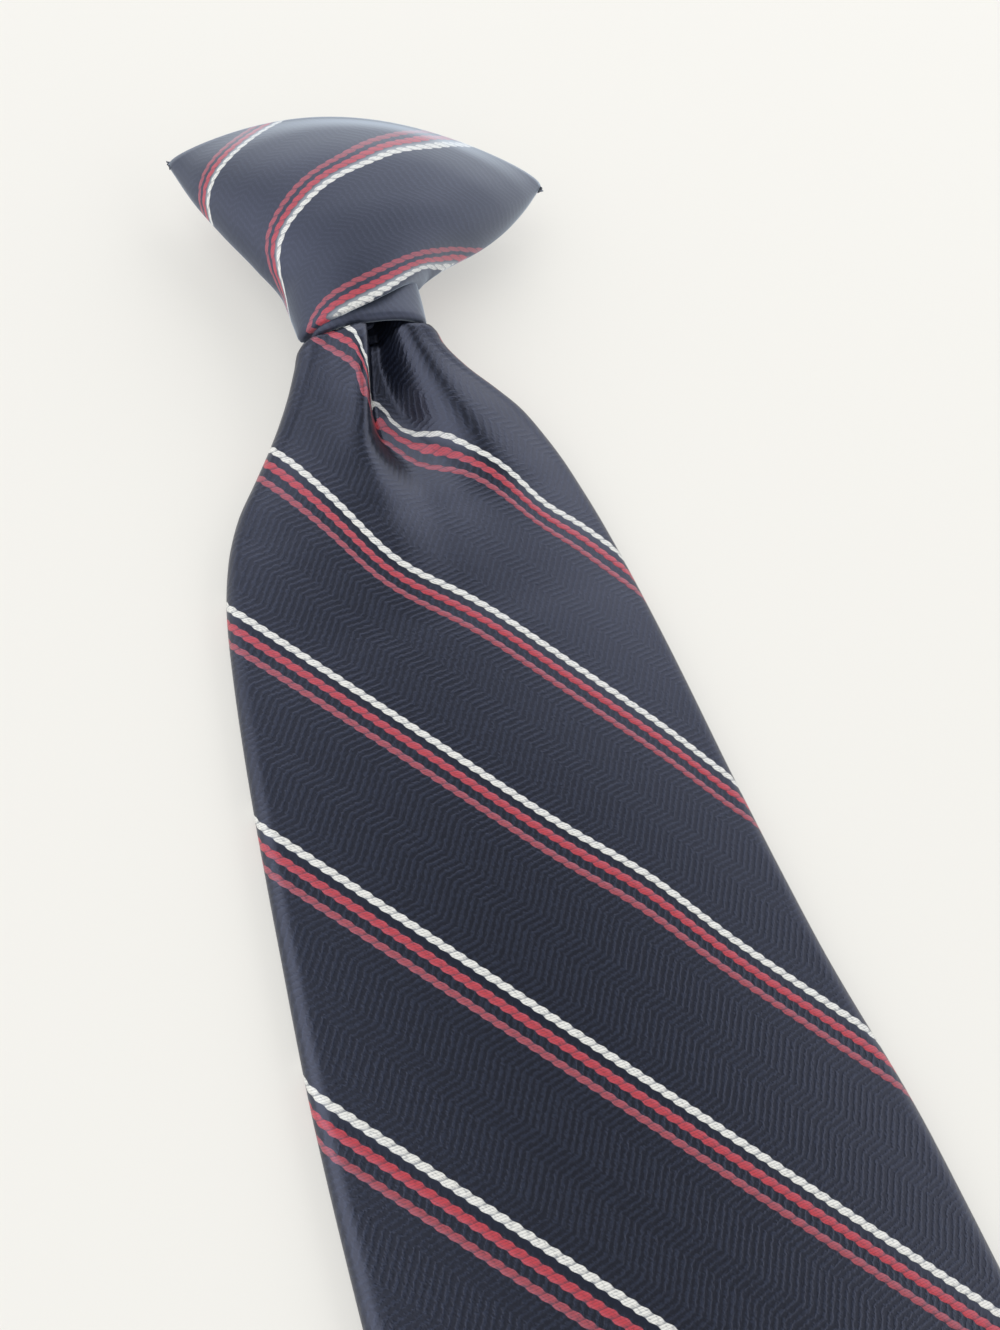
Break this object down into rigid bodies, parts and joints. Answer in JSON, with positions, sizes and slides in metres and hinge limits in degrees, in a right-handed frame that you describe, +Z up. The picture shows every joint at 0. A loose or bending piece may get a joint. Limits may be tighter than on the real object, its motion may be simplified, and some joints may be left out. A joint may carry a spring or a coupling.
{
  "type": "clip-on necktie",
  "caption": "Wide ready-tied clip-on necktie lying face up, with a broad pointed knot, one deep dimple, a folded cloth blade and a spring clip behind the knot.",
  "frame": {"origin": "on the surface that the tie lies on, at the middle of its length and width", "axes": "+Y along the blade towards the knot, +X across the tie, +Z up out of its face"},
  "size_m": [0.092, 0.5082, 0.021],
  "materials": {
    "tie_cloth": "navy herringbone with woven white and red stripes, slight sheen",
    "clip_steel": "plain nickel-plated spring steel"
  },
  "bodies": {
    "root": {"blade": "tie_cloth", "knot_band": "tie_cloth", "knot_flap": "tie_cloth", "clip": "clip_steel"}
  },
  "joints": []
}
